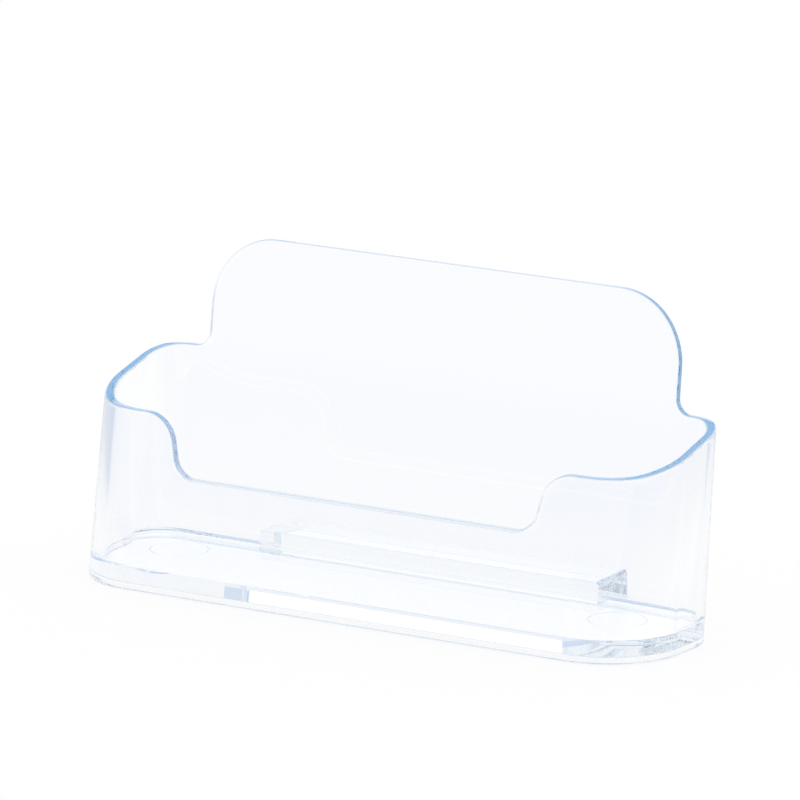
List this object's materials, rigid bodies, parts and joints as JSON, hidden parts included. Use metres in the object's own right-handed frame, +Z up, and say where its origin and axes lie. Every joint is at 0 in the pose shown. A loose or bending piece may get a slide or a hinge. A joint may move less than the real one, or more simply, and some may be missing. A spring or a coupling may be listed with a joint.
{
  "type": "business card holder stand",
  "caption": "Clear plastic desk stand: a leaning pocket with a dipped front and a tall rounded back panel holds business cards upright; a bar behind stops it tipping.",
  "frame": {"origin": "on the desk, in the middle of the stand's width and overall depth", "axes": "+Z up, +Y towards the back panel and the bar behind it, +X to the right as seen from the front"},
  "size_m": [0.0984, 0.0356, 0.0484],
  "materials": {
    "clear_plastic": "polished clear polystyrene, colourless on its faces and pale blue along its edges"
  },
  "bodies": {
    "root": {"wall_shell": "clear_plastic", "base_slab": "clear_plastic", "rear_foot": "clear_plastic"}
  },
  "joints": []
}
